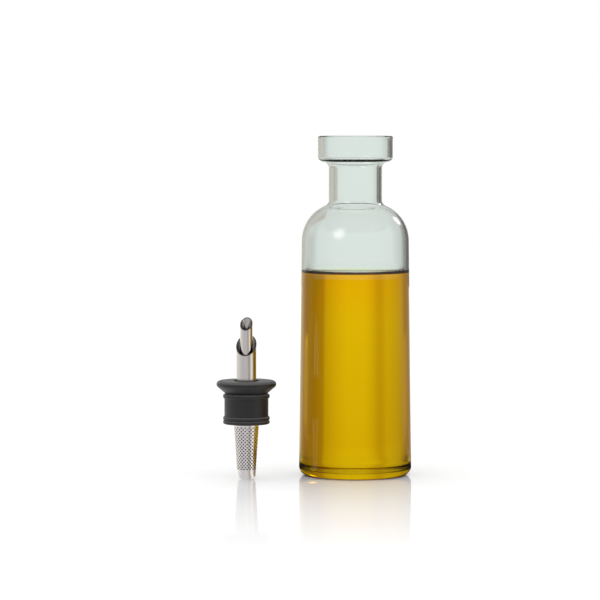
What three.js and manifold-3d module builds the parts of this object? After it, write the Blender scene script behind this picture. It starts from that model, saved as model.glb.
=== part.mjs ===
// Oil dispenser: a glass bottle part-filled with oil, and its pouring stopper standing beside it.
// Millimetres, +Z up. The origin is the middle of the bottle's foot, on the table.
import * as THREE from 'three';
import { mergeGeometries, mergeVertices } from 'three/addons/utils/BufferGeometryUtils.js';
import Module from 'manifold-3d';

// Bottle: the outside, and a glass wall of even thickness
const BOTTLE_HEIGHT = 217;
const FOOT_RADIUS = 36;
const HEEL_ROUND = 5.25;
const BODY_TOP_RADIUS = 34.2;
const SHOULDER_HEIGHT = 150;
const SHOULDER_ROUND = 24.4;
const NECK_RADIUS = 16.9;
const NECK_FILLET = 4;
const COLLAR_RADIUS = 23.85;
const COLLAR_CORNER_HEIGHT = 203.9;
const COLLAR_ROUND = 3.1;
const COLLAR_FILLET = 4.1;
const COLLAR_SLOPE = 14;
const WALL = 1.9;
const INNER_HEEL_ROUND = 9.5;

// Oil
const OIL_LEVEL = 129.5;

// Clearance between pieces that touch
const GAP = 0.3;

// Pouring stopper: heights are above the table, measured from the strainer's tip
const POURER_X = -69.4;
const POURER_Y = -24.2;
const STOPPER_BOTTOM = 35;
const LOWER_RING_RADIUS = 14.9;
const LOWER_RING_HEIGHT = 2.4;
const PLUG_RADIUS = 14;
const UPPER_RING_RADIUS = 14.9;
const UPPER_RING_MIDDLE = 52.6;
const UPPER_RING_HEIGHT = 2.8;
const GROOVE_RADIUS = 13.4;
const FLANGE_RADIUS = 19.05;
const FLANGE_TOP = 62.5;
const FLANGE_ROUND = 2.3;
const RECESS_RADIUS = 8.1;
const RECESS_DEPTH = 1.3;

// Spout tubes, each with a slanted mouth that faces forward and a little to the left
const OUTER_TUBE_RADIUS = 6.5;
const OUTER_TUBE_BOTTOM = 47;
const OUTER_TUBE_MOUTH = 85;
const INNER_TUBE_RADIUS = 4;
const INNER_TUBE_BOTTOM = 42.5;
const INNER_TUBE_MOUTH = 98.5;
const TUBE_WALL = 0.55;
const MOUTH_SLANT = 45;
const MOUTH_TURN = 8;

// Strainer
const STRAINER_TOP = 40;
const STRAINER_TOP_RADIUS = 8.5;
const STRAINER_TIP_RADIUS = 5.85;
const STRAINER_TIP_ROUND = 2.8;
const STRAINER_WALL = 0.6;
const HOLE_SIZE = 0.84;
const HOLES_PER_ROW = 19;
const HOLE_ROWS = 24;
const FIRST_ROW = 6.5;
const ROW_PITCH = 1.145;

// Facets around each round piece
const BOTTLE_SIDES = 30;
const STOPPER_SIDES = 20;
const TUBE_SIDES = 16;
const STRAINER_SIDES = 2 * HOLES_PER_ROW;

const { degToRad, radToDeg } = THREE.MathUtils;
const wasm = await Module();
wasm.setup();

const point = (radius, height) => new THREE.Vector2(radius, height);

// Points along an arc in the plane of radius and height, with angles in degrees from the outward direction.
function arc(centre, radius, from, to, steps) {
  const points = [];
  for (let i = 0; i <= steps; i += 1) {
    const angle = degToRad(from + (to - from) * i / steps);
    points.push(point(centre.x + radius * Math.cos(angle), centre.y + radius * Math.sin(angle)));
  }
  return points;
}

// A profile turned about the Z axis.
function turned(profile, sides) {
  return new THREE.LatheGeometry(profile, sides).rotateX(Math.PI / 2);
}

// The wall from the shoulder up to the rim, drawn inset from the outside: the shoulder's arc, the fillet that
// leads it into the neck, and the neck's flare into the rounded corner of the collar.
function upperWall(inset) {
  const shoulder = point(BODY_TOP_RADIUS - SHOULDER_ROUND, SHOULDER_HEIGHT);
  const reach = SHOULDER_ROUND + NECK_FILLET;
  const across = NECK_RADIUS + NECK_FILLET - shoulder.x;
  const turn = radToDeg(Math.acos(across / reach));
  const neck = point(NECK_RADIUS + NECK_FILLET, shoulder.y + Math.sqrt(reach ** 2 - across ** 2));
  const corner = point(COLLAR_RADIUS - COLLAR_ROUND, COLLAR_CORNER_HEIGHT);
  const slope = degToRad(COLLAR_SLOPE);
  const underside = corner.x - NECK_RADIUS - COLLAR_FILLET;
  const drop = (COLLAR_ROUND + COLLAR_FILLET) / Math.cos(slope) + underside * Math.tan(slope);
  const flare = point(NECK_RADIUS + COLLAR_FILLET, corner.y - drop);
  return [
    ...arc(shoulder, SHOULDER_ROUND - inset, 0, turn, 4),
    ...arc(neck, NECK_FILLET + inset, 180 + turn, 180, 2).slice(1),
    ...arc(flare, COLLAR_FILLET + inset, 180, 90 + COLLAR_SLOPE, 2),
    ...arc(corner, COLLAR_ROUND - inset, COLLAR_SLOPE - 90, 0, 2),
    point(COLLAR_RADIUS - inset, BOTTLE_HEIGHT - WALL / 2),
  ];
}

// The rounded corner between the floor of the inside and the wall, drawn inset from the glass.
function innerHeel(inset) {
  const centre = point(FOOT_RADIUS - WALL - INNER_HEEL_ROUND, WALL + INNER_HEEL_ROUND);
  return arc(centre, INNER_HEEL_ROUND - inset, -90, 0, 3);
}

function bottleGeometry() {
  const rim = point(COLLAR_RADIUS - WALL / 2, BOTTLE_HEIGHT - WALL / 2);
  return turned([
    point(0, 0),
    ...arc(point(FOOT_RADIUS - HEEL_ROUND, HEEL_ROUND), HEEL_ROUND, -90, 0, 3),
    ...upperWall(0),
    ...arc(rim, WALL / 2, 0, 180, 4).slice(1, -1),
    ...upperWall(WALL).reverse(),
    ...innerHeel(0).reverse(),
    point(0, WALL),
  ], BOTTLE_SIDES);
}

// The oil fills the inside up to its level, a clearance away from the glass.
function oilGeometry() {
  const taper = (FOOT_RADIUS - BODY_TOP_RADIUS) / (SHOULDER_HEIGHT - HEEL_ROUND);
  const surfaceRadius = BODY_TOP_RADIUS + taper * (SHOULDER_HEIGHT - OIL_LEVEL) - WALL - GAP;
  return turned([
    point(0, WALL + GAP),
    ...innerHeel(GAP),
    point(surfaceRadius, OIL_LEVEL),
    point(0, OIL_LEVEL),
  ], BOTTLE_SIDES);
}

// A sealing ring standing out from a wall, as a rounded bulge in its profile.
function sealingRing(middle, height, wallRadius, ringRadius) {
  const points = [];
  const steps = 3;
  for (let i = 0; i <= steps; i += 1) {
    const angle = Math.PI * i / steps;
    const bulge = Math.sin(angle) * (ringRadius - wallRadius);
    points.push(point(wallRadius + bulge, middle - Math.cos(angle) * height / 2));
  }
  return points;
}

// Silicone stopper: sealing rings, a conical flange that seats in the collar, and a stepped bore
// that grips the outer tube at the top, the inner tube in the middle and the strainer below.
function stopperGeometry() {
  const lowerRing = STOPPER_BOTTOM + LOWER_RING_HEIGHT / 2;
  const grooveHeight = UPPER_RING_MIDDLE + UPPER_RING_HEIGHT / 2 + GAP;
  const rimCentre = point(FLANGE_RADIUS - FLANGE_ROUND, FLANGE_TOP - FLANGE_ROUND);
  const outerBore = OUTER_TUBE_RADIUS + GAP;
  const innerBore = INNER_TUBE_RADIUS + GAP;
  const socket = STRAINER_TOP_RADIUS + GAP;
  return turned([
    point(socket, STOPPER_BOTTOM),
    ...sealingRing(lowerRing, LOWER_RING_HEIGHT, PLUG_RADIUS, LOWER_RING_RADIUS),
    ...sealingRing(lowerRing + LOWER_RING_HEIGHT, LOWER_RING_HEIGHT, PLUG_RADIUS, LOWER_RING_RADIUS).slice(1),
    ...sealingRing(UPPER_RING_MIDDLE, UPPER_RING_HEIGHT, PLUG_RADIUS, UPPER_RING_RADIUS),
    point(GROOVE_RADIUS, grooveHeight),
    ...arc(rimCentre, FLANGE_ROUND, -45, 90, 5),
    point(RECESS_RADIUS, FLANGE_TOP),
    point(RECESS_RADIUS, FLANGE_TOP - RECESS_DEPTH),
    point(outerBore, FLANGE_TOP - RECESS_DEPTH),
    point(outerBore, OUTER_TUBE_BOTTOM - GAP),
    point(innerBore, OUTER_TUBE_BOTTOM - GAP),
    point(innerBore, STRAINER_TOP + GAP),
    point(socket, STRAINER_TOP + GAP),
    point(socket, STOPPER_BOTTOM),
  ], STOPPER_SIDES);
}

// A tube whose top is cut off on a slant: the mouth's height is the one on the tube's axis.
function spoutGeometry(radius, bottom, mouth) {
  const bore = radius - TUBE_WALL;
  const geometry = turned([
    point(bore, bottom),
    point(radius, bottom),
    point(radius, mouth),
    point(bore, mouth),
    point(bore, bottom),
  ], TUBE_SIDES);
  const rise = Math.tan(degToRad(MOUTH_SLANT));
  const turn = degToRad(MOUTH_TURN);
  const position = geometry.getAttribute('position');
  const middle = (bottom + mouth) / 2;
  for (let i = 0; i < position.count; i += 1) {
    if (position.getZ(i) > middle) {
      const back = position.getY(i) * Math.cos(turn) + position.getX(i) * Math.sin(turn);
      position.setZ(i, mouth + rise * back);
    }
  }
  return geometry;
}

// A closed mesh as a solid that can be cut.
function solid(geometry) {
  const bare = new THREE.BufferGeometry();
  bare.setAttribute('position', geometry.getAttribute('position').clone());
  bare.setIndex(geometry.getIndex().clone());
  const merged = mergeVertices(bare, 1e-5);
  return new wasm.Manifold(new wasm.Mesh({
    numProp: 3,
    vertProperties: new Float32Array(merged.getAttribute('position').array),
    triVerts: new Uint32Array(merged.getIndex().array),
  }));
}

function geometryOf(manifold) {
  const mesh = manifold.getMesh();
  const geometry = new THREE.BufferGeometry();
  geometry.setAttribute('position', new THREE.BufferAttribute(mesh.vertProperties, 3));
  geometry.setIndex(new THREE.BufferAttribute(mesh.triVerts, 1));
  geometry.computeVertexNormals();
  return geometry;
}

// One block for each hole of the strainer, in staggered rows, in the middle of a facet.
function holeBlocks(slope) {
  const blocks = [];
  for (let row = 0; row < HOLE_ROWS; row += 1) {
    const height = FIRST_ROW + row * ROW_PITCH;
    const radius = STRAINER_TIP_RADIUS + slope * (height - STRAINER_TIP_ROUND);
    for (let i = 0; i < HOLES_PER_ROW; i += 1) {
      const facet = 2 * i + (row % 2) + 0.5;
      const block = new THREE.BoxGeometry(HOLE_SIZE, 4 * STRAINER_WALL, HOLE_SIZE);
      block.translate(0, STRAINER_WALL / 2 - radius, height);
      block.rotateZ(2 * Math.PI * facet / STRAINER_SIDES);
      blocks.push(block);
    }
  }
  return mergeGeometries(blocks);
}

// Strainer: a tapered steel cup with a plain rounded tip and a perforated wall, open at the top.
function strainerGeometry() {
  const slope = (STRAINER_TOP_RADIUS - STRAINER_TIP_RADIUS) / (STRAINER_TOP - STRAINER_TIP_ROUND);
  const tipCentre = point(STRAINER_TIP_RADIUS - STRAINER_TIP_ROUND, STRAINER_TIP_ROUND);
  const cup = turned([
    point(0, 0),
    ...arc(tipCentre, STRAINER_TIP_ROUND, -90, 0, 3),
    point(STRAINER_TOP_RADIUS, STRAINER_TOP),
    point(STRAINER_TOP_RADIUS - STRAINER_WALL, STRAINER_TOP),
    ...arc(tipCentre, STRAINER_TIP_ROUND - STRAINER_WALL, 0, -90, 3),
    point(0, STRAINER_WALL),
  ], STRAINER_SIDES);
  return geometryOf(solid(cup).subtract(solid(holeBlocks(slope))));
}

const glass = new THREE.MeshStandardMaterial({
  color: 0xd9e1dc, roughness: 0.02, metalness: 0, transparent: true, opacity: 0.35,
});
const oliveOil = new THREE.MeshStandardMaterial({
  color: 0xd6a800, roughness: 0.05, metalness: 0, transparent: true, opacity: 0.9,
});
const silicone = new THREE.MeshStandardMaterial({ color: 0x343436, roughness: 0.55, metalness: 0 });
const steel = new THREE.MeshStandardMaterial({ color: 0xbdbab6, roughness: 0.3, metalness: 1 });

function part(name, geometry, material) {
  const mesh = new THREE.Mesh(geometry, material);
  mesh.name = name;
  return mesh;
}

const pourer = new THREE.Group();
pourer.position.set(POURER_X, POURER_Y, 0);
pourer.add(
  part('stopper', stopperGeometry(), silicone),
  part('spout_outer', spoutGeometry(OUTER_TUBE_RADIUS, OUTER_TUBE_BOTTOM, OUTER_TUBE_MOUTH), steel),
  part('spout_inner', spoutGeometry(INNER_TUBE_RADIUS, INNER_TUBE_BOTTOM, INNER_TUBE_MOUTH), steel),
  part('strainer', strainerGeometry(), steel),
);

const dispenser = new THREE.Group();
dispenser.add(
  part('bottle', bottleGeometry(), glass),
  part('oil', oilGeometry(), oliveOil),
  pourer,
);

export default dispenser;
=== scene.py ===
"""Looks of the oil dispenser: a glass bottle part-filled with golden oil, and its pouring stopper beside it.

Profiles are drawn in millimetres, as (radius, height) pairs, and turned about an upright axis. The studio is
in metres. Its directions are degrees from straight behind the bottle, positive to the right.
"""

import math

import bmesh
import bpy
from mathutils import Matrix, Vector


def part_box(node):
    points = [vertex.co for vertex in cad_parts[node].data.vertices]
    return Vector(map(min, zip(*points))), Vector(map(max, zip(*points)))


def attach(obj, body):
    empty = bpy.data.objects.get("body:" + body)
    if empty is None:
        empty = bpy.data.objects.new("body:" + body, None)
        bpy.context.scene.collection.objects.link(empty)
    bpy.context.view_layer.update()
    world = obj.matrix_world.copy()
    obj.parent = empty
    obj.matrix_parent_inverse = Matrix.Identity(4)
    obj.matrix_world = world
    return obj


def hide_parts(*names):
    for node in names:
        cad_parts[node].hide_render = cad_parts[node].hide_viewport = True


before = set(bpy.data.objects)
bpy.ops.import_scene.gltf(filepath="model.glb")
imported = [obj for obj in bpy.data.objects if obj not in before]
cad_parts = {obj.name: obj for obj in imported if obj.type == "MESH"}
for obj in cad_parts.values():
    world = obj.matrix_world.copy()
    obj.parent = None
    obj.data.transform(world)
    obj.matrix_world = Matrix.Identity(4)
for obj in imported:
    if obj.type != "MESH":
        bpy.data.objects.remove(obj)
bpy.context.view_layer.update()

MM = 0.001

# Bottle: the outside, and a glass wall of even thickness
HEEL_ROUND = 5.25
BODY_TOP_RADIUS = 34.2
SHOULDER_HEIGHT = 150
SHOULDER_ROUND = 24.4
NECK_RADIUS = 16.9
NECK_FILLET = 4
COLLAR_RADIUS = 23.85
COLLAR_CORNER_HEIGHT = 203.9
COLLAR_ROUND = 3.1
COLLAR_FILLET = 4.1
COLLAR_SLOPE = 14
WALL = 1.9
INNER_HEEL_ROUND = 9.5

# Oil: how far it reaches into the glass, and how it climbs where it meets the wall
OIL_OVERLAP = 0.12
MENISCUS_RISE = 2.3
MENISCUS_REACH = 1.4

# Pouring stopper
LOWER_RING_RADIUS = 14.9
LOWER_RING_HEIGHT = 2.4
PLUG_RADIUS = 14
UPPER_RING_RADIUS = 14.9
UPPER_RING_MIDDLE = 52.6
UPPER_RING_HEIGHT = 2.8
GROOVE_RADIUS = 13.4
FLANGE_ROUND = 2.3
FLANGE_ROUND_START = -45
RECESS_RADIUS = 8.1
RECESS_DEPTH = 1.3
EDGE_ROUND = 0.35

# Spout tubes
TUBE_WALL = 0.55
TUBE_BEVEL = 0.08
OUTER_TUBE_RADIUS = 6.5
OUTER_TUBE_MOUTH = 85
INNER_TUBE_RADIUS = 4
INNER_TUBE_MOUTH = 98.5
MOUTH_SLANT = 45
MOUTH_TURN = 8

# Strainer: the first hole's place is counted in holes of a row from the front
STRAINER_TOP_RADIUS = 8.5
STRAINER_TIP_RADIUS = 5.85
STRAINER_TIP_ROUND = 2.8
STRAINER_WALL = 0.6
HOLE_DIAMETER = 1.05
HOLES_PER_ROW = 19
HOLE_ROWS = 24
FIRST_HOLE = 0.25
FIRST_ROW = 6.5
ROW_PITCH = 1.145

# Fineness of the meshes: the meniscus's step and extent are counted in its reach
ARC_STEP = 5
LONGEST_STEP = 6
MENISCUS_STEP = 0.15
MENISCUS_EXTENT = 4
RING_STEPS = 12
BOTTLE_SIDES = 160
STOPPER_SIDES = 128
TUBE_SIDES = 96
CELL_STEPS = 4
SHARP_ANGLE = 40
ON_AXIS = 1e-6
MERGE_DISTANCE = 1e-7

# Marks on faces: those that meet the air and mirror, unlike where oil meets glass, and those inside the
# pourer, which get painted shade. A face looks up where its normal's height is more than the value here
OPEN_SURFACE = "open_surface"
INSIDE_SHADE = "inside"
LOOKS_UP = 0.5

# Glass and oil: how they bend light, and how they tint it
GLASS_IOR = 1.5
GLASS_TINT = (0.4, 0.7, 0.5)
GLASS_DENSITY = 10
OIL_IOR = 1.467
OIL_TINT = (1, 0.908, 0.03)
OIL_DENSITY = 105

# Silicone: its black, its shine, and the painted top light that greys faces by how far they look up
SILICONE_BLACK = (0.012, 0.012, 0.0125)
SILICONE_SHINE = 0.45
SILICONE_TOP_LIGHT = (0.11, 0.11, 0.11)
TOP_LIGHT_STARTS = 0.1
TOP_LIGHT_FULL = 0.7

# Steel: colour and roughness, how far the roughness varies, and how far inner faces turn to the painted
# shade colour
SPOUT_STEEL = (0.62, 0.60, 0.575)
SPOUT_ROUGHNESS = 0.15
STRAINER_STEEL = (0.68, 0.66, 0.64)
STRAINER_ROUGHNESS = 0.18
SMOOTHER_BY = 0.05
ROUGHER_BY = 0.06
PAINTED_SHADE_STEEL = (0.10, 0.095, 0.09)
TUBE_INSIDE_SHADE = 0.25
STRAINER_INSIDE_SHADE = 1

# Noise: its detail, and the range that it mostly keeps to
NOISE_DETAIL = 3
NOISE_LOW = 0.3
NOISE_HIGH = 0.7

# Camera at the photograph's viewing angle
CAMERA_PLACE = (-0.0354, -2.128, 0.250)
CAMERA_DROP = 3.708
CAMERA_LENS = 199.74
CAMERA_SENSOR = 36

# How often light may pass or meet a surface on its way through the glass and the oil
LIGHT_BOUNCES = 40

# Two pale cards behind the bottle, one above the other, which only show through the glass and the oil. Their
# outlines are seen from the front. Brightness is given across, colour by height, and both ends are soft
CARD_BACK = 0.16
CARD_ENDS = [(0, 0), (0.15, 1), (0.85, 1), (1, 0)]
UPPER_OUTLINE = [
    (-0.08, 0.118),
    (0.078, 0.118),
    (0.078, 0.16),
    (0.056, 0.17),
    (0.056, 0.196),
    (0.075, 0.199),
    (0.075, 0.26),
    (-0.05, 0.26),
    (-0.05, 0.199),
    (-0.028, 0.196),
    (-0.028, 0.17),
    (-0.08, 0.163),
]
UPPER_ACROSS = [
    (-0.08, 0.76),
    (-0.042, 0.84),
    (-0.030, 0.94),
    (-0.010, 1),
    (0.020, 1),
    (0.036, 0.97),
    (0.052, 0.85),
    (0.078, 0.72),
]
UPPER_TONE = (0.75, 0.824, 0.783)
UPPER_UP = [(0, UPPER_TONE), (1, UPPER_TONE)]
LOWER_OUTLINE = [
    (-0.17, 0),
    (0.17, 0),
    (0.17, 0.045),
    (0.115, 0.08),
    (0.048, 0.118),
    (-0.17, 0.118),
]
LOWER_ACROSS = [
    (-0.17, 0.36),
    (-0.108, 0.62),
    (-0.085, 0.725),
    (-0.044, 0.84),
    (-0.036, 0.76),
    (-0.028, 0.74),
    (-0.018, 0.90),
    (-0.008, 1),
    (0.012, 1),
    (0.021, 0.94),
    (0.046, 0.74),
    (0.053, 0.53),
    (0.085, 0.42),
    (0.115, 0.40),
    (0.17, 0.33),
]
LOWER_UP = [(0, (0.69, 0.82, 0.76)), (0.085, (0.77, 0.92, 0.85)), (0.118, (0.82, 0.83, 0.77))]
WARMTH = 0.5

# Table: its reach to the front and the sides, its reach to the back, and how far it lies below the foot
TABLE_REACH = 3
TABLE_BACK = 2
TABLE_DROP = 0.0002

# The table as the camera sees it: white, with a mirror that fades by the distance from the bottle's axis
TABLE_WHITE = (0.97, 0.97, 0.97)
TABLE_ROUGHNESS = 0.06
TABLE_IOR = 1.5
MIRROR_NEAR = 0.06
MIRROR_FAR = 0.42
MIRROR_SHARE = 0.85

# The table as clear pieces have it. Behind the bottle it carries the lower card's picture on, fanned out
# from where rays through the oil cross. Beyond that it is dark in mirrors and pale through the glass. It has
# a painted shadow under the foot, and in a band further off it is pale through the glass behind the bottle
# too
TABLE_TONE = (0.71, 0.86, 0.78)
CROSSING_BACK = 0.048
SHADOW_UNDER_FOOT = [(0.034, 0.02), (0.042, 1)]
FAR_BAND = [(0.18, 0), (0.3, 1), (0.9, 1), (1, 0)]
TABLE_MIRRORED = (0.02, 0.02, 0.02)
TABLE_THROUGH = (0.72, 0.76, 0.74)
TABLE_LEFT = (0.2, 0.2, 0.17)
TABLE_RIGHT = (0.28, 0.28, 0.25)
TABLE_DIM = (0.3, 0.25, 0.23)
FAR_TABLE = [
    (-180, TABLE_THROUGH),
    (-85, TABLE_THROUGH),
    (-70, TABLE_LEFT),
    (-58, TABLE_DIM),
    (-46, TABLE_THROUGH),
    (46, TABLE_THROUGH),
    (58, TABLE_DIM),
    (70, TABLE_RIGHT),
    (85, TABLE_THROUGH),
    (180, TABLE_THROUGH),
]

# The table's brightness for satin pieces, by the distance from the pourer's middle
NEAR_POURER = [(0.07, 1.15), (0.4, 1)]

# The studio round the clear glass and the oil: what they mirror, and what shows through them
BEHIND_BOTTLE = [
    (-50, (0.55, 0.54, 0.48)),
    (-3, (0.55, 0.54, 0.48)),
    (3, (0.12, 0.115, 0.11)),
    (23, (0.12, 0.115, 0.11)),
    (27, (0.21, 0.19, 0.17)),
    (50, (0.15, 0.14, 0.13)),
]
MIRRORED_SIDES = [
    (-180, (0.01, 0.01, 0.01)),
    (-95, (0.015, 0.015, 0.015)),
    (-86, (0.08, 0.08, 0.08)),
    (-74, (0.25, 0.25, 0.24)),
    (-62, (0.45, 0.44, 0.41)),
    *BEHIND_BOTTLE,
    (60, (0.06, 0.06, 0.055)),
    (90, (0.03, 0.03, 0.03)),
    (180, (0.01, 0.01, 0.01)),
]
PALE = (0.78, 0.82, 0.80)
THROUGH_SIDES = [
    (-180, PALE),
    (-85, PALE),
    (-70, (0.22, 0.21, 0.17)),
    *BEHIND_BOTTLE,
    (75, PALE),
    (180, PALE),
]
CLEAR_ABOVE = (0.5, 0.5, 0.48)
CLEAR_ABOVE_STARTS = 0.12
CLEAR_ABOVE_FULL = 0.3

# The studio that the satin steel and the silicone mirror
SATIN_SIDES = [
    (-180, (0.73, 0.72, 0.74)),
    (-140, (0.72, 0.69, 0.76)),
    (-118, (0.78, 0.76, 0.75)),
    (-100, (0.90, 0.89, 0.86)),
    (-60, (1.0, 0.98, 0.95)),
    (-25, (1.3, 1.3, 1.3)),
    (25, (1.3, 1.3, 1.3)),
    (40, (0.22, 0.18, 0.14)),
    (68, (0.30, 0.25, 0.20)),
    (86, (0.46, 0.39, 0.32)),
    (101, (0.80, 0.73, 0.66)),
    (114, (1.2, 1.14, 1.08)),
    (126, (1.1, 1.06, 1.02)),
    (138, (0.60, 0.58, 0.55)),
    (146, (0.44, 0.43, 0.40)),
    (152, (0.46, 0.45, 0.42)),
    (160, (0.68, 0.67, 0.64)),
    (180, (0.73, 0.72, 0.74)),
]
SATIN_ABOVE = (0.18, 0.18, 0.19)
SATIN_ABOVE_STARTS = 0.25
SATIN_ABOVE_FULL = 0.35

# The soft dome that lights matt surfaces
DOME_SIDE = (0.72, 0.72, 0.72)
DOME_TOP = (1.32, 1.32, 1.32)

# Two soft lights that show as highlights on the glass: direction, half width, half height and brightness
LEFT_LIGHT = ((-0.578, -0.691, 0.434), 0.31, 0.41, 2.6)
RIGHT_LIGHT = ((0.592, 0.705, 0.389), 0.14, 0.14, 4.5)
LIGHT_COLOUR = (1, 0.93, 1.05)
LIGHT_CORE = 0.35


def low_corner(node):
    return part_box(node)[0] / MM


def high_corner(node):
    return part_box(node)[1] / MM


# Places taken from the frame
FOOT_RADIUS = high_corner("bottle").y
BOTTLE_HEIGHT = high_corner("bottle").z
OIL_LEVEL = high_corner("oil").z
POURER_AXIS = (low_corner("spout_outer") + high_corner("spout_outer")) / 2
PLUG_BOTTOM = low_corner("stopper").z
FLANGE_RADIUS = high_corner("stopper").x - POURER_AXIS.x
FLANGE_TOP = high_corner("stopper").z
OUTER_TUBE_BOTTOM = low_corner("spout_outer").z
INNER_TUBE_BOTTOM = low_corner("spout_inner").z
STRAINER_TOP = high_corner("strainer").z


# Shapes


def arc(centre, radius, start, end):
    """Points along an arc of the profile, with angles in degrees from the outward direction."""
    steps = max(2, math.ceil(abs(end - start) / ARC_STEP))
    points = []
    for i in range(steps + 1):
        angle = math.radians(start + (end - start) * i / steps)
        points.append((centre[0] + radius * math.cos(angle), centre[1] + radius * math.sin(angle)))
    return points


def subdivided(profile):
    """The same profile with long straight stretches split, so that smooth shading stays true along them."""
    points = [profile[0]]
    for (r0, z0), (r1, z1) in zip(profile, profile[1:]):
        steps = max(1, math.ceil(math.hypot(r1 - r0, z1 - z0) / LONGEST_STEP))
        for i in range(1, steps + 1):
            share = i / steps
            points.append((r0 + (r1 - r0) * share, z0 + (z1 - z0) * share))
    return points


def turned(name, profile, sides, axis=(0, 0)):
    """A profile turned about an upright axis. It runs from axis to axis, or closes on itself."""
    verts = []
    rings = []
    for radius, height in profile:
        if radius < ON_AXIS:
            rings.append([len(verts)] * sides)
            verts.append((axis[0], axis[1], height))
            continue
        rings.append(list(range(len(verts), len(verts) + sides)))
        for i in range(sides):
            angle = 2 * math.pi * i / sides
            verts.append((axis[0] + radius * math.cos(angle), axis[1] + radius * math.sin(angle), height))
    faces = []
    for lower, upper in zip(rings, rings[1:]):
        for i in range(sides):
            j = (i + 1) % sides
            corners = [lower[i], lower[j], upper[j], upper[i]]
            faces.append(list(dict.fromkeys(corners)))
    return mesh_object(name, verts, faces)


def mesh_object(name, verts, faces):
    """A smooth-shaded object from points in millimetres, with doubled points merged and faces facing out."""
    mesh = bpy.data.meshes.new(name)
    mesh.from_pydata([Vector(v) * MM for v in verts], [], faces)
    shell = bmesh.new()
    shell.from_mesh(mesh)
    bmesh.ops.remove_doubles(shell, verts=shell.verts, dist=MERGE_DISTANCE)
    bmesh.ops.recalc_face_normals(shell, faces=shell.faces)
    shell.to_mesh(mesh)
    shell.free()
    mesh.shade_smooth()
    mesh.set_sharp_from_angle(angle=math.radians(SHARP_ANGLE))
    piece = bpy.data.objects.new(name, mesh)
    bpy.context.scene.collection.objects.link(piece)
    return piece


def mark_faces(piece, name, value):
    """Gives each face a mark, found by a function from its middle, in millimetres, and its normal."""
    mark = piece.data.attributes.new(name, "FLOAT", "FACE")
    for face in piece.data.polygons:
        mark.data[face.index].value = value(face.center / MM, face.normal)


def mark_inside_shade(piece, wall_radius, shade_share):
    """Marks the faces nearer to the pourer's axis than the wall at their height with their share of painted
    shade.
    """

    def inside(place, normal):
        return shade_share if (place - POURER_AXIS).to_2d().length < wall_radius(place.z) else 0

    mark_faces(piece, INSIDE_SHADE, inside)


def upper_wall(inset):
    """The bottle's wall from the shoulder up to the rim, drawn inset from the outside."""
    shoulder = (BODY_TOP_RADIUS - SHOULDER_ROUND, SHOULDER_HEIGHT)
    reach = SHOULDER_ROUND + NECK_FILLET
    across = NECK_RADIUS + NECK_FILLET - shoulder[0]
    turn = math.degrees(math.acos(across / reach))
    neck = (NECK_RADIUS + NECK_FILLET, shoulder[1] + math.sqrt(reach ** 2 - across ** 2))
    corner = (COLLAR_RADIUS - COLLAR_ROUND, COLLAR_CORNER_HEIGHT)
    slope = math.radians(COLLAR_SLOPE)
    underside = corner[0] - NECK_RADIUS - COLLAR_FILLET
    drop = (COLLAR_ROUND + COLLAR_FILLET) / math.cos(slope) + underside * math.tan(slope)
    flare = (NECK_RADIUS + COLLAR_FILLET, corner[1] - drop)
    rim_height = BOTTLE_HEIGHT - WALL / 2
    return [
        *arc(shoulder, SHOULDER_ROUND - inset, 0, turn),
        *arc(neck, NECK_FILLET + inset, 180 + turn, 180)[1:],
        *arc(flare, COLLAR_FILLET + inset, 180, 90 + COLLAR_SLOPE),
        *arc(corner, COLLAR_ROUND - inset, COLLAR_SLOPE - 90, 0),
        (COLLAR_RADIUS - inset, rim_height),
    ]


def inner_heel(outset):
    """The rounded corner between the floor of the inside and the wall, drawn outset into the glass."""
    centre = (FOOT_RADIUS - WALL - INNER_HEEL_ROUND, WALL + INNER_HEEL_ROUND)
    return arc(centre, INNER_HEEL_ROUND + outset, -90, 0)


def make_bottle():
    rim_centre = (COLLAR_RADIUS - WALL / 2, BOTTLE_HEIGHT - WALL / 2)
    profile = [
        (0, 0),
        *arc((FOOT_RADIUS - HEEL_ROUND, HEEL_ROUND), HEEL_ROUND, -90, 0),
        *upper_wall(0),
        *arc(rim_centre, WALL / 2, 0, 180)[1:-1],
        *reversed(upper_wall(WALL)),
        *reversed(inner_heel(0)),
        (0, WALL),
    ]
    bottle = turned("glass_bottle", subdivided(profile), BOTTLE_SIDES)

    def meets_air(place, normal):
        inside = normal.z > LOOKS_UP or normal.to_2d().dot(place.to_2d()) < 0
        return not (inside and place.z < OIL_LEVEL)

    mark_faces(bottle, OPEN_SURFACE, meets_air)
    return bottle


def make_oil():
    taper = (FOOT_RADIUS - BODY_TOP_RADIUS) / (SHOULDER_HEIGHT - HEEL_ROUND)
    wall_radius = BODY_TOP_RADIUS + taper * (SHOULDER_HEIGHT - OIL_LEVEL) - WALL + OIL_OVERLAP
    heel = [(0, WALL - OIL_OVERLAP), *inner_heel(OIL_OVERLAP)]
    surface = []
    distance = 0
    while distance < MENISCUS_EXTENT * MENISCUS_REACH:
        climb = MENISCUS_RISE * math.exp(-distance / MENISCUS_REACH)
        surface.append((wall_radius - distance, OIL_LEVEL + climb))
        distance += MENISCUS_STEP * MENISCUS_REACH
    oil = turned("golden_oil", subdivided(heel + surface + [(0, OIL_LEVEL)]), BOTTLE_SIDES)
    mark_faces(oil, OPEN_SURFACE, lambda place, normal: normal.z > LOOKS_UP)
    return oil


def sealing_ring(middle, height, wall_radius, ring_radius):
    """A sealing ring standing out from a wall, as a rounded bulge in its profile."""
    points = []
    for i in range(RING_STEPS + 1):
        angle = math.pi * i / RING_STEPS
        bulge = math.sin(angle) * (ring_radius - wall_radius)
        points.append((wall_radius + bulge, middle - math.cos(angle) * height / 2))
    return points


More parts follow.
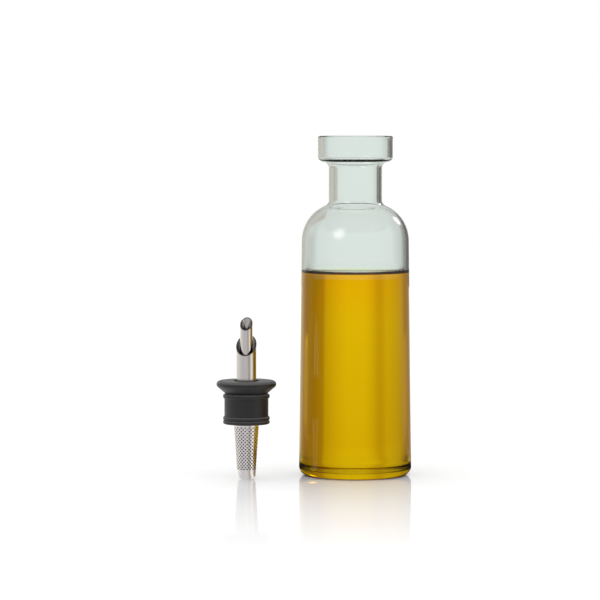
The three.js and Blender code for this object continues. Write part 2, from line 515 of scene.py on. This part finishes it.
def make_stopper():
    lower_ring = PLUG_BOTTOM + LOWER_RING_HEIGHT / 2
    groove_height = UPPER_RING_MIDDLE + UPPER_RING_HEIGHT / 2 + EDGE_ROUND
    rim_centre = (FLANGE_RADIUS - FLANGE_ROUND, FLANGE_TOP - FLANGE_ROUND)
    profile = [
        (STRAINER_TOP_RADIUS, PLUG_BOTTOM),
        *sealing_ring(lower_ring, LOWER_RING_HEIGHT, PLUG_RADIUS, LOWER_RING_RADIUS),
        *sealing_ring(lower_ring + LOWER_RING_HEIGHT, LOWER_RING_HEIGHT, PLUG_RADIUS, LOWER_RING_RADIUS)[1:],
        *sealing_ring(UPPER_RING_MIDDLE, UPPER_RING_HEIGHT, PLUG_RADIUS, UPPER_RING_RADIUS),
        (GROOVE_RADIUS, groove_height),
        *arc(rim_centre, FLANGE_ROUND, FLANGE_ROUND_START, 90),
        *arc((RECESS_RADIUS + EDGE_ROUND, FLANGE_TOP - EDGE_ROUND), EDGE_ROUND, 90, 180),
        (RECESS_RADIUS, FLANGE_TOP - RECESS_DEPTH),
        (OUTER_TUBE_RADIUS, FLANGE_TOP - RECESS_DEPTH),
        (OUTER_TUBE_RADIUS, OUTER_TUBE_BOTTOM),
        (INNER_TUBE_RADIUS, OUTER_TUBE_BOTTOM),
        (INNER_TUBE_RADIUS, STRAINER_TOP),
        (STRAINER_TOP_RADIUS, STRAINER_TOP),
        (STRAINER_TOP_RADIUS, PLUG_BOTTOM),
    ]
    return turned("silicone_stopper", profile, STOPPER_SIDES, POURER_AXIS)


def make_tube(name, radius, bottom, mouth):
    """A tube whose top is cut off on a slant: the mouth's height is the one on the tube's axis."""
    bore = radius - TUBE_WALL
    profile = [
        (bore, bottom),
        (radius, bottom),
        (radius, mouth - TUBE_BEVEL),
        (radius - TUBE_BEVEL, mouth),
        (bore + TUBE_BEVEL, mouth),
        (bore, mouth - TUBE_BEVEL),
        (bore, bottom),
    ]
    tube = turned(name, profile, TUBE_SIDES, POURER_AXIS)
    rise = math.tan(math.radians(MOUTH_SLANT))
    turn = math.radians(MOUTH_TURN)
    for vert in tube.data.vertices:
        if vert.co.z > (bottom + mouth) / 2 * MM:
            offset = vert.co - POURER_AXIS * MM
            vert.co.z += rise * (offset.y * math.cos(turn) + offset.x * math.sin(turn))
    # Faces inside the tube take part of the painted shade
    mark_inside_shade(tube, lambda height: radius - TUBE_WALL / 2, TUBE_INSIDE_SHADE)
    return tube


def strainer_radius(height):
    slope = (STRAINER_TOP_RADIUS - STRAINER_TIP_RADIUS) / (STRAINER_TOP - STRAINER_TIP_ROUND)
    return STRAINER_TIP_RADIUS + slope * (height - STRAINER_TIP_ROUND)


def pourer_point(turn, radius, height):
    """A point round the pourer's axis, its turn counted in holes of a row from the front."""
    angle = 2 * math.pi * turn / HOLES_PER_ROW
    return (POURER_AXIS.x + radius * math.sin(angle), POURER_AXIS.y - radius * math.cos(angle), height)


def cell_outline():
    """The edge of a hole's cell, from -1 to 1 both ways, starting at the middle of its right side."""
    half = CELL_STEPS // 2
    right = [(1, i / half) for i in range(half)]
    top = [(1 - i / half, 1) for i in range(CELL_STEPS)]
    left = [(-1, 1 - i / half) for i in range(CELL_STEPS)]
    bottom = [(-1 + i / half, -1) for i in range(CELL_STEPS)]
    return right + top + left + bottom + [(1, -1 + i / half) for i in range(half)]


def strainer_bands():
    """Profiles of the strainer's plain parts: the inside of its tip, the outside of its tip, and its top."""
    tip_centre = (STRAINER_TIP_RADIUS - STRAINER_TIP_ROUND, STRAINER_TIP_ROUND)
    lowest = FIRST_ROW - ROW_PITCH / 2
    highest = lowest + HOLE_ROWS * ROW_PITCH
    inner_tip = [
        (strainer_radius(lowest) - STRAINER_WALL, lowest),
        *arc(tip_centre, STRAINER_TIP_ROUND - STRAINER_WALL, 0, -90),
        (0, STRAINER_WALL),
    ]
    outer_tip = [
        (0, 0),
        *arc(tip_centre, STRAINER_TIP_ROUND, -90, 0),
        (strainer_radius(lowest), lowest),
    ]
    rim = [
        (strainer_radius(highest), highest),
        (strainer_radius(STRAINER_TOP), STRAINER_TOP),
        (strainer_radius(STRAINER_TOP) - STRAINER_WALL, STRAINER_TOP),
        (strainer_radius(highest) - STRAINER_WALL, highest),
    ]
    return inner_tip, outer_tip, rim


def make_strainer():
    """A cup of equal cells, each with a round hole through it, between a plain tip and a plain top."""
    verts = []
    faces = []
    outline = cell_outline()

    def add_ring(points):
        verts.extend(points)
        return list(range(len(verts) - len(points), len(verts)))

    def join(first, second):
        for k in range(len(first)):
            n = (k + 1) % len(first)
            faces.append([first[k], first[n], second[n], second[k]])

    def wall_point(turn, height, depth):
        return pourer_point(turn, strainer_radius(height) - depth, height)

    def add_cell(turn, height):
        half_hole = HOLE_DIAMETER / 2
        half_turn = half_hole / (2 * math.pi * strainer_radius(height) / HOLES_PER_ROW)
        edges = []
        for depth in (0, STRAINER_WALL):
            border = []
            rim = []
            for k, (across, up) in enumerate(outline):
                angle = 2 * math.pi * k / len(outline)
                border.append(wall_point(turn + across / 2, height + up * ROW_PITCH / 2, depth))
                rim_turn = turn + half_turn * math.cos(angle)
                rim.append(wall_point(rim_turn, height + half_hole * math.sin(angle), depth))
            edge = add_ring(rim)
            join(add_ring(border), edge)
            edges.append(edge)
        join(edges[0], edges[1])

    for row in range(HOLE_ROWS):
        for i in range(HOLES_PER_ROW):
            add_cell(i + row % 2 / 2 + FIRST_HOLE, FIRST_ROW + row * ROW_PITCH)

    turns = [k / CELL_STEPS + FIRST_HOLE for k in range(HOLES_PER_ROW * CELL_STEPS)]
    for profile in strainer_bands():
        rings = []
        for radius, height in profile:
            rings.append(add_ring([pourer_point(turn, radius, height) for turn in turns]))
        for lower, upper in zip(rings, rings[1:]):
            join(lower, upper)
    strainer = mesh_object("strainer_cup", verts, faces)

    def inner_radius(height):
        return strainer_radius(height) - STRAINER_WALL / 4 if height > STRAINER_TIP_ROUND else 0

    # The strainer's inside takes the full painted shade
    mark_inside_shade(strainer, inner_radius, STRAINER_INSIDE_SHADE)
    return strainer


# Nodes that the materials and the studio share


def new_material(name):
    material = bpy.data.materials.new(name)
    material.use_nodes = True
    return material, material.node_tree, material.node_tree.nodes["Principled BSDF"]


def bare_material(name):
    """A material with nothing in it but its output."""
    material = bpy.data.materials.new(name)
    material.use_nodes = True
    tree = material.node_tree
    tree.nodes.clear()
    return material, tree, tree.nodes.new("ShaderNodeOutputMaterial").inputs["Surface"]


def add_range(tree, value, starts, ends, first=0, last=1, smooth=False):
    """A number that goes from first to last while a value goes from where it starts to where it ends."""
    span = tree.nodes.new("ShaderNodeMapRange")
    span.interpolation_type = "SMOOTHSTEP" if smooth else "LINEAR"
    span.inputs["From Min"].default_value = starts
    span.inputs["From Max"].default_value = ends
    span.inputs["To Min"].default_value = first
    span.inputs["To Max"].default_value = last
    tree.links.new(value, span.inputs["Value"])
    return span.outputs["Result"]


def add_offset(tree, vector, origin):
    """The vector as seen from a fixed origin."""
    offset = tree.nodes.new("ShaderNodeVectorMath")
    offset.operation = "SUBTRACT"
    offset.inputs[1].default_value = origin
    tree.links.new(vector, offset.inputs[0])
    return offset.outputs["Vector"]


def add_length(tree, vector):
    length = tree.nodes.new("ShaderNodeVectorMath")
    length.operation = "LENGTH"
    tree.links.new(vector, length.inputs[0])
    return length.outputs["Value"]


def add_steps(tree, value, stops):
    """A colour that follows stops of position and colour, the positions from 0 to 1."""
    colours = tree.nodes.new("ShaderNodeValToRGB")
    ramp = colours.color_ramp.elements
    for position, colour in stops[1:-1]:
        ramp.new(position)
    for element, (position, colour) in zip(ramp, stops):
        element.position = position
        element.color = (*colour, 1)
    tree.links.new(value, colours.inputs["Fac"])
    return colours.outputs["Color"]


def add_blend(tree, share, first, second):
    """A colour between two, each of them either fixed or another node's output."""
    blend = tree.nodes.new("ShaderNodeMix")
    blend.data_type = "RGBA"
    tree.links.new(share, blend.inputs["Factor"])
    for colour, socket in ((first, blend.inputs["A"]), (second, blend.inputs["B"])):
        if isinstance(colour, tuple):
            socket.default_value = (*colour, 1)
        else:
            tree.links.new(colour, socket)
    return blend.outputs["Result"]


def add_product(tree, first, second):
    """The product of two colours."""
    product = tree.nodes.new("ShaderNodeMix")
    product.data_type = "RGBA"
    product.blend_type = "MULTIPLY"
    product.inputs["Factor"].default_value = 1
    tree.links.new(first, product.inputs["A"])
    tree.links.new(second, product.inputs["B"])
    return product.outputs["Result"]


def add_sides(tree, vector, stops):
    """A colour by direction: stops are degrees from straight behind the bottle, positive to the right."""
    split = tree.nodes.new("ShaderNodeSeparateXYZ")
    azimuth = tree.nodes.new("ShaderNodeMath")
    azimuth.operation = "ARCTAN2"
    tree.links.new(vector, split.inputs["Vector"])
    tree.links.new(split.outputs["X"], azimuth.inputs[0])
    tree.links.new(split.outputs["Y"], azimuth.inputs[1])
    share = add_range(tree, azimuth.outputs["Value"], -math.pi, math.pi)
    return add_steps(tree, share, [(degrees / 360 + 0.5, colour) for degrees, colour in stops])


def add_above(tree, vector, side, above, starts, full):
    """A colour that turns from the one at the sides to the one above, by the height of a direction."""
    split = tree.nodes.new("ShaderNodeSeparateXYZ")
    tree.links.new(vector, split.inputs["Vector"])
    return add_blend(tree, add_range(tree, split.outputs["Z"], starts, full, smooth=True), side, above)


def add_spot(tree, vector, direction, half_width, half_height, brightness):
    """A soft light in one direction, evenly bright in its core and fading to nothing at its edge."""
    scaled = tree.nodes.new("ShaderNodeVectorMath")
    scaled.operation = "DIVIDE"
    scaled.inputs[1].default_value = (half_width, half_width, half_height)
    tree.links.new(add_offset(tree, vector, direction), scaled.inputs[0])
    distance = add_length(tree, scaled.outputs["Vector"])
    return add_range(tree, distance, LIGHT_CORE, 1, brightness, 0, smooth=True)


def add_mix(tree, share, first, second):
    """A mix of two shaders."""
    mix = tree.nodes.new("ShaderNodeMixShader")
    tree.links.new(share, mix.inputs["Fac"])
    tree.links.new(first, mix.inputs[1])
    tree.links.new(second, mix.inputs[2])
    return mix.outputs["Shader"]


def add_emission(tree, colour, strength):
    emission = tree.nodes.new("ShaderNodeEmission")
    tree.links.new(colour, emission.inputs["Color"])
    tree.links.new(strength, emission.inputs["Strength"])
    return emission.outputs["Emission"]


def add_background(tree, colour):
    background = tree.nodes.new("ShaderNodeBackground")
    tree.links.new(colour, background.inputs["Color"])
    return background.outputs["Background"]


def add_noise(tree, scale, stretch=(1, 1, 1)):
    """Noise in the object's own metres, stretched along each axis."""
    coords = tree.nodes.new("ShaderNodeTexCoord")
    mapping = tree.nodes.new("ShaderNodeMapping")
    noise = tree.nodes.new("ShaderNodeTexNoise")
    mapping.inputs["Scale"].default_value = stretch
    noise.inputs["Scale"].default_value = scale
    noise.inputs["Detail"].default_value = NOISE_DETAIL
    tree.links.new(coords.outputs["Object"], mapping.inputs["Vector"])
    tree.links.new(mapping.outputs["Vector"], noise.inputs["Vector"])
    return noise.outputs["Fac"]


def add_grain(tree, shader, noise, strength, distance, smoothest, roughest):
    """Raises fine bumps by noise, and varies the roughness with them."""
    bump = tree.nodes.new("ShaderNodeBump")
    bump.inputs["Strength"].default_value = strength
    bump.inputs["Distance"].default_value = distance
    tree.links.new(noise, bump.inputs["Height"])
    tree.links.new(bump.outputs["Normal"], shader.inputs["Normal"])
    roughness = add_range(tree, noise, NOISE_LOW, NOISE_HIGH, smoothest, roughest)
    tree.links.new(roughness, shader.inputs["Roughness"])


# Materials of the pieces


def clear_material(name, ior, tint, density):
    """Clear glass or oil: it tints what passes through, and mirrors where its faces meet the air."""
    material, tree, shader = new_material(name)
    open_surface = tree.nodes.new("ShaderNodeAttribute")
    absorption = tree.nodes.new("ShaderNodeVolumeAbsorption")
    shader.inputs["Base Color"].default_value = (1, 1, 1, 1)
    shader.inputs["Roughness"].default_value = 0
    shader.inputs["IOR"].default_value = ior
    shader.inputs["Transmission Weight"].default_value = 1
    open_surface.attribute_name = OPEN_SURFACE
    absorption.inputs["Color"].default_value = (*tint, 1)
    absorption.inputs["Density"].default_value = density
    tree.links.new(open_surface.outputs["Color"], shader.inputs["Specular Tint"])
    tree.links.new(absorption.outputs["Volume"], tree.nodes["Material Output"].inputs["Volume"])
    return material


def silicone_material():
    """Soft black, with painted top light that greys the faces that look up."""
    material, tree, shader = new_material("black_silicone")
    geometry = tree.nodes.new("ShaderNodeNewGeometry")
    facing = geometry.outputs["Normal"]
    # Painted light: faces that look up are greyed, as if lit from above
    colour = add_above(tree, facing, SILICONE_BLACK, SILICONE_TOP_LIGHT, TOP_LIGHT_STARTS, TOP_LIGHT_FULL)
    tree.links.new(colour, shader.inputs["Base Color"])
    shader.inputs["Specular IOR Level"].default_value = SILICONE_SHINE
    noise = add_noise(tree, scale=900)
    add_grain(tree, shader, noise, strength=0.25, distance=0.0002, smoothest=0.42, roughest=0.56)
    return material


def steel_material(name, colour, roughness):
    """Satin steel with fine drawn lines along the tube, and painted shade where the mesh is marked as
    inside.
    """
    material, tree, shader = new_material(name)
    inside = tree.nodes.new("ShaderNodeAttribute")
    inside.attribute_name = INSIDE_SHADE
    # Painted shade: faces marked as inside turn towards a dark colour
    tree.links.new(add_blend(tree, inside.outputs["Fac"], colour, PAINTED_SHADE_STEEL), shader.inputs["Base Color"])
    shader.inputs["Metallic"].default_value = 1
    noise = add_noise(tree, scale=2400, stretch=(1, 1, 0.03))
    smoothest = roughness - SMOOTHER_BY
    roughest = roughness + ROUGHER_BY
    add_grain(tree, shader, noise, strength=0.12, distance=0.0001, smoothest=smoothest, roughest=roughest)
    return material


# Studio


def grey_stops(stops):
    """Greys of the given brightness."""
    return [(position, (brightness, brightness, brightness)) for position, brightness in stops]


def warm_stops(stops):
    """Colours of the given brightness, the warmer the dimmer they are."""
    colours = []
    for position, brightness in stops:
        cool = brightness * (1 - WARMTH * (1 - brightness))
        colours.append((position, (brightness, cool, cool)))
    return colours


def table_stops(beyond):
    """The table's colours by direction: the lower card's picture, and another colour beyond its ends."""
    stops = [(-180, beyond), (-85, beyond), (-70, TABLE_LEFT)]
    for x, colour in warm_stops(LOWER_ACROSS):
        degrees = math.degrees(math.atan2(x, CARD_BACK - CROSSING_BACK))
        stops.append((degrees, tuple(part * tone for part, tone in zip(colour, TABLE_TONE))))
    return stops + [(70, TABLE_RIGHT), (85, beyond), (180, beyond)]


def table_material():
    """Glossy white for the camera; for what the pieces mirror and show, a table glowing with painted light.
    """
    material, tree, surface = bare_material("white_table")
    geometry = tree.nodes.new("ShaderNodeNewGeometry")
    light_path = tree.nodes.new("ShaderNodeLightPath")
    place = geometry.outputs["Position"]
    distance = add_length(tree, place)

    white = tree.nodes.new("ShaderNodeBsdfDiffuse")
    gloss = tree.nodes.new("ShaderNodeBsdfGlossy")
    fresnel = tree.nodes.new("ShaderNodeFresnel")
    mirror = tree.nodes.new("ShaderNodeMath")
    white.inputs["Color"].default_value = (*TABLE_WHITE, 1)
    gloss.inputs["Roughness"].default_value = TABLE_ROUGHNESS
    fresnel.inputs["IOR"].default_value = TABLE_IOR
    mirror.operation = "MULTIPLY"
    fade = add_range(tree, distance, MIRROR_NEAR, MIRROR_FAR, MIRROR_SHARE, 0)
    tree.links.new(fresnel.outputs["Fac"], mirror.inputs[0])
    tree.links.new(fade, mirror.inputs[1])
    looked_at = add_mix(tree, mirror.outputs["Value"], white.outputs["BSDF"], gloss.outputs["BSDF"])

    from_pourer = add_offset(tree, place, POURER_AXIS * MM)
    satin_colour = add_sides(tree, from_pourer, SATIN_SIDES)
    satin_strength = add_steps(tree, add_length(tree, from_pourer), grey_stops(NEAR_POURER))
    satin = add_emission(tree, satin_colour, satin_strength)

    from_crossing = add_offset(tree, place, (0, CROSSING_BACK, 0))
    mirrored_colour = add_sides(tree, from_crossing, table_stops(TABLE_MIRRORED))
    near_colour = add_sides(tree, from_crossing, table_stops(TABLE_THROUGH))
    far_colour = add_sides(tree, from_crossing, FAR_TABLE)
    far = add_steps(tree, distance, grey_stops(FAR_BAND))
    through_colour = add_blend(tree, far, near_colour, far_colour)
    is_through = light_path.outputs["Is Transmission Ray"]
    clear_colour = add_blend(tree, is_through, mirrored_colour, through_colour)
    # Painted shadow: the table glows dark under the foot
    clear = add_emission(tree, clear_colour, add_steps(tree, distance, grey_stops(SHADOW_UNDER_FOOT)))

    by_pieces = add_mix(tree, light_path.outputs["Is Singular Ray"], satin, clear)
    tree.links.new(add_mix(tree, light_path.outputs["Is Camera Ray"], by_pieces, looked_at), surface)
    return material


def card_material(name, colours_across, colours_up):
    """Glows in the product of its colours across and up, and fades out towards both ends."""
    material, tree, surface = bare_material(name)
    geometry = tree.nodes.new("ShaderNodeNewGeometry")
    split = tree.nodes.new("ShaderNodeSeparateXYZ")
    glow = tree.nodes.new("ShaderNodeEmission")
    nothing = tree.nodes.new("ShaderNodeBsdfTransparent")
    left = colours_across[0][0]
    right = colours_across[-1][0]
    stops = [((x - left) / (right - left), colour) for x, colour in colours_across]
    tree.links.new(geometry.outputs["Position"], split.inputs["Vector"])
    across = add_range(tree, split.outputs["X"], left, right)
    colour_up = add_steps(tree, split.outputs["Z"], colours_up)
    tree.links.new(add_product(tree, colour_up, add_steps(tree, across, stops)), glow.inputs["Color"])
    solid = add_steps(tree, across, grey_stops(CARD_ENDS))
    tree.links.new(add_mix(tree, solid, nothing.outputs["BSDF"], glow.outputs["Emission"]), surface)
    return material


def build_world():
    """White for the camera, a soft dome for matt surfaces, and a studio each for clear and satin pieces."""
    world = bpy.data.worlds.new("studio")
    bpy.context.scene.world = world
    world.cycles.sampling_method = "NONE"
    world.use_nodes = True
    tree = world.node_tree
    tree.nodes.clear()
    output = tree.nodes.new("ShaderNodeOutputWorld")
    coords = tree.nodes.new("ShaderNodeTexCoord")
    light_path = tree.nodes.new("ShaderNodeLightPath")
    direction = coords.outputs["Generated"]

    lights = tree.nodes.new("ShaderNodeBackground")
    both_lights = tree.nodes.new("ShaderNodeMath")
    lights.inputs["Color"].default_value = (*LIGHT_COLOUR, 1)
    tree.links.new(add_spot(tree, direction, *LEFT_LIGHT), both_lights.inputs[0])
    tree.links.new(add_spot(tree, direction, *RIGHT_LIGHT), both_lights.inputs[1])
    tree.links.new(both_lights.outputs["Value"], lights.inputs["Strength"])

    mirrored_sides = add_sides(tree, direction, MIRRORED_SIDES)
    through_sides = add_sides(tree, direction, THROUGH_SIDES)
    sides = add_blend(tree, light_path.outputs["Is Transmission Ray"], mirrored_sides, through_sides)
    clear = add_above(tree, direction, sides, CLEAR_ABOVE, CLEAR_ABOVE_STARTS, CLEAR_ABOVE_FULL)
    clear_and_lights = tree.nodes.new("ShaderNodeAddShader")
    tree.links.new(add_background(tree, clear), clear_and_lights.inputs[0])
    tree.links.new(lights.outputs["Background"], clear_and_lights.inputs[1])

    satin_sides = add_sides(tree, direction, SATIN_SIDES)
    satin = add_above(tree, direction, satin_sides, SATIN_ABOVE, SATIN_ABOVE_STARTS, SATIN_ABOVE_FULL)
    dome = add_above(tree, direction, DOME_SIDE, DOME_TOP, 0, 1)
    white = tree.nodes.new("ShaderNodeBackground")
    white.inputs["Color"].default_value = (1, 1, 1, 1)

    by_satin = add_background(tree, satin)
    by_clear = clear_and_lights.outputs["Shader"]
    by_matt = add_background(tree, dome)
    by_pieces = add_mix(tree, light_path.outputs["Is Singular Ray"], by_satin, by_clear)
    by_all = add_mix(tree, light_path.outputs["Is Diffuse Ray"], by_pieces, by_matt)
    looked_at = add_mix(tree, light_path.outputs["Is Camera Ray"], by_all, white.outputs["Background"])
    tree.links.new(looked_at, output.inputs["Surface"])


def build_table():
    """The table, a hair below the foot."""
    verts = [
        (-TABLE_REACH, -TABLE_REACH, -TABLE_DROP),
        (TABLE_REACH, -TABLE_REACH, -TABLE_DROP),
        (TABLE_REACH, TABLE_BACK, -TABLE_DROP),
        (-TABLE_REACH, TABLE_BACK, -TABLE_DROP),
    ]
    mesh = bpy.data.meshes.new("table")
    mesh.from_pydata(verts, [], [(0, 1, 2, 3)])
    table = bpy.data.objects.new("table", mesh)
    table.data.materials.append(table_material())
    bpy.context.scene.collection.objects.link(table)


def build_card(name, outline, colours_across, colours_up):
    """A pale card right behind the bottle, which only shows through the glass and the oil."""
    mesh = bpy.data.meshes.new(name)
    mesh.from_pydata([(x, CARD_BACK, z) for x, z in outline], [], [range(len(outline))])
    mesh.materials.append(card_material(name, colours_across, colours_up))
    card = bpy.data.objects.new(name, mesh)
    card.visible_camera = False
    card.visible_diffuse = False
    card.visible_glossy = False
    card.visible_shadow = False
    bpy.context.scene.collection.objects.link(card)


def build_camera():
    camera = bpy.data.cameras.new("camera")
    camera.lens = CAMERA_LENS
    camera.sensor_width = CAMERA_SENSOR
    viewer = bpy.data.objects.new("camera", camera)
    viewer.location = CAMERA_PLACE
    viewer.rotation_euler = (math.radians(90 - CAMERA_DROP), 0, 0)
    bpy.context.scene.collection.objects.link(viewer)
    bpy.context.scene.camera = viewer


def dress(piece, node, material):
    """Gives a piece its material, and puts it in the place of a solid."""
    piece.data.materials.append(material)
    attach(piece, "root")
    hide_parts(node)


# The scene
build_camera()
build_world()
build_table()
build_card("upper_card", UPPER_OUTLINE, grey_stops(UPPER_ACROSS), UPPER_UP)
build_card("lower_card", LOWER_OUTLINE, warm_stops(LOWER_ACROSS), LOWER_UP)

glass = clear_material("bottle_glass", GLASS_IOR, GLASS_TINT, GLASS_DENSITY)
golden_oil = clear_material("golden_oil", OIL_IOR, OIL_TINT, OIL_DENSITY)
spout_steel = steel_material("satin_steel", SPOUT_STEEL, SPOUT_ROUGHNESS)
strainer_steel = steel_material("strainer_steel", STRAINER_STEEL, STRAINER_ROUGHNESS)
outer_tube = make_tube("spout_tube_outer", OUTER_TUBE_RADIUS, OUTER_TUBE_BOTTOM, OUTER_TUBE_MOUTH)
inner_tube = make_tube("spout_tube_inner", INNER_TUBE_RADIUS, INNER_TUBE_BOTTOM, INNER_TUBE_MOUTH)
dress(make_bottle(), "bottle", glass)
dress(make_oil(), "oil", golden_oil)
dress(make_stopper(), "stopper", silicone_material())
dress(outer_tube, "spout_outer", spout_steel)
dress(inner_tube, "spout_inner", spout_steel)
dress(make_strainer(), "strainer", strainer_steel)

bpy.context.scene.view_settings.view_transform = "Standard"
bpy.context.scene.cycles.max_bounces = LIGHT_BOUNCES
bpy.context.scene.cycles.transmission_bounces = LIGHT_BOUNCES
